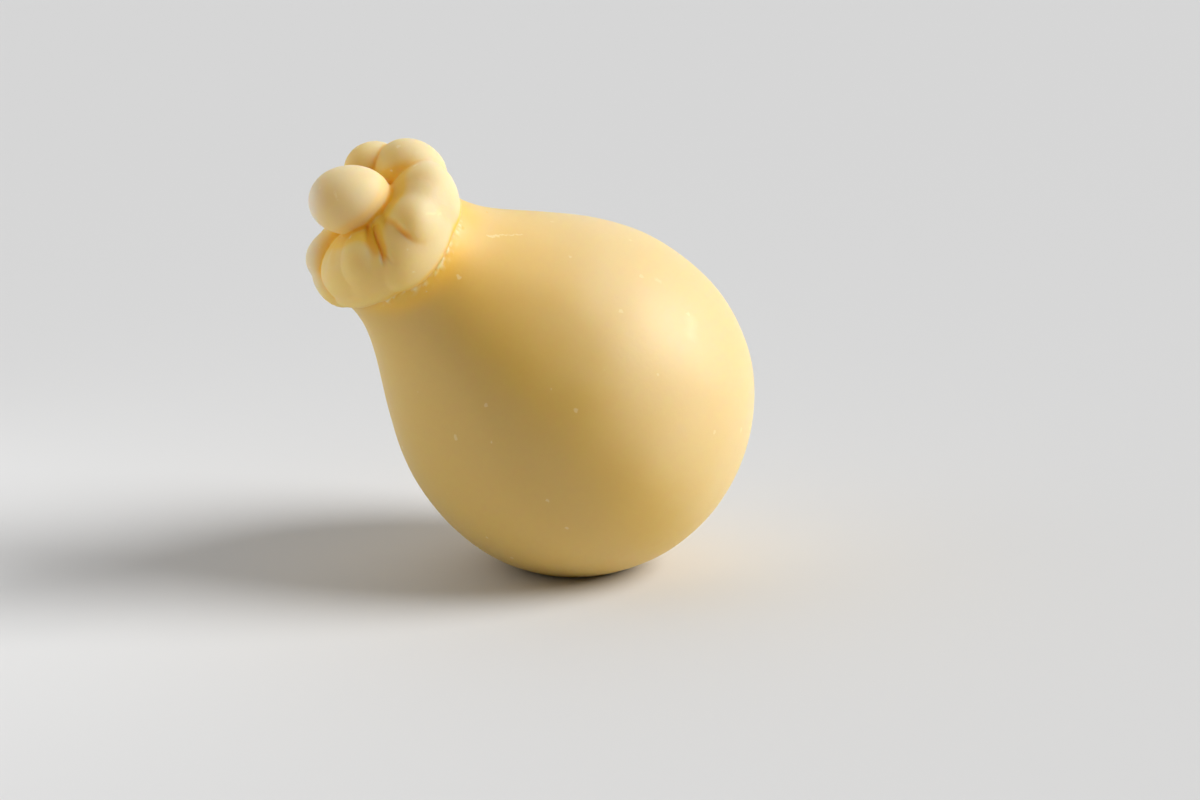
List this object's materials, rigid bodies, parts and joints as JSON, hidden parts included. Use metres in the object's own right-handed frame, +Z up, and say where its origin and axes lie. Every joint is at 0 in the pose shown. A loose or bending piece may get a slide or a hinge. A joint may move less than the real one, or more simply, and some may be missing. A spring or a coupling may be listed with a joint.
{
  "type": "caciocavallo cheese",
  "caption": "Whole pear-shaped stretched-curd cheese with a smooth round body, a narrow neck and a knotted head of soft folds, lying on its belly with the head raised.",
  "frame": {"origin": "middle of the flat spot under the belly, on the surface that the cheese lies on", "axes": "+Z up, the cheese's long axis lies in the XZ plane and climbs 42 degrees towards the head at -X"},
  "size_m": [0.1624, 0.1268, 0.1572],
  "materials": {
    "rind": "smooth waxy cheese rind, satin, slightly translucent"
  },
  "bodies": {
    "root": {"cheese": "rind"}
  },
  "joints": []
}
